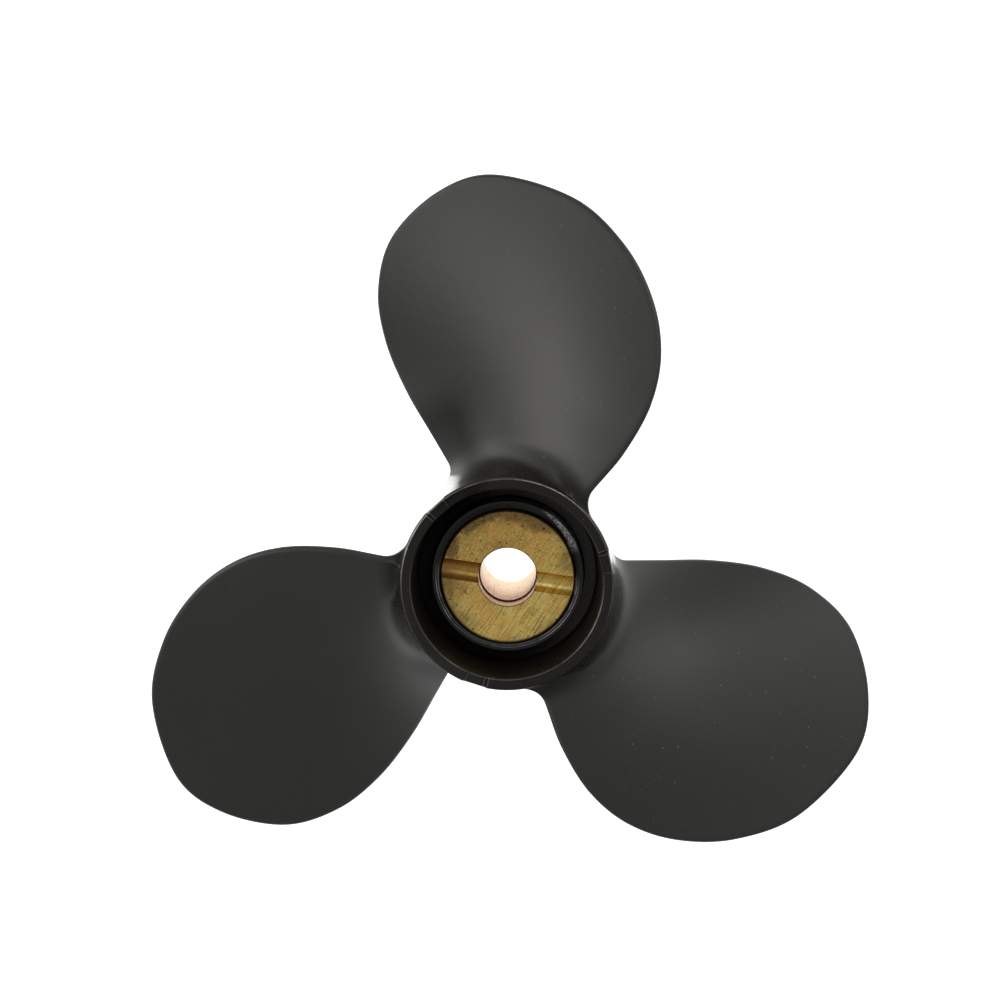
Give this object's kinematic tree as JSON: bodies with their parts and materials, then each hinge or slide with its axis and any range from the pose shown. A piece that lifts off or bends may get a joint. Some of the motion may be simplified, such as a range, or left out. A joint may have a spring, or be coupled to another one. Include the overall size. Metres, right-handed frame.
{
  "type": "outboard propeller",
  "caption": "Small marine propeller with broad blades on a nearly straight hub, a rubber damper and a brass bush slotted for the drive pin.",
  "frame": {"origin": "on the shaft axis, at the centre of mass of the whole part", "axes": "+Z along the shaft axis out of the front end, which faces the gearcase and has the deep recess and the pin slot; +X along the pin slot; +Y along the reference line of the first blade"},
  "size_m": [0.1721, 0.1655, 0.0522],
  "materials": {
    "satin_black_paint": "satin, worn along the rim",
    "black_rubber": "smooth",
    "worn_brass": "machined, scratched and tarnished"
  },
  "bodies": {
    "root": {"propeller_casting": "satin_black_paint", "rubber_damper": "black_rubber", "brass_bush": "worn_brass"}
  },
  "joints": []
}
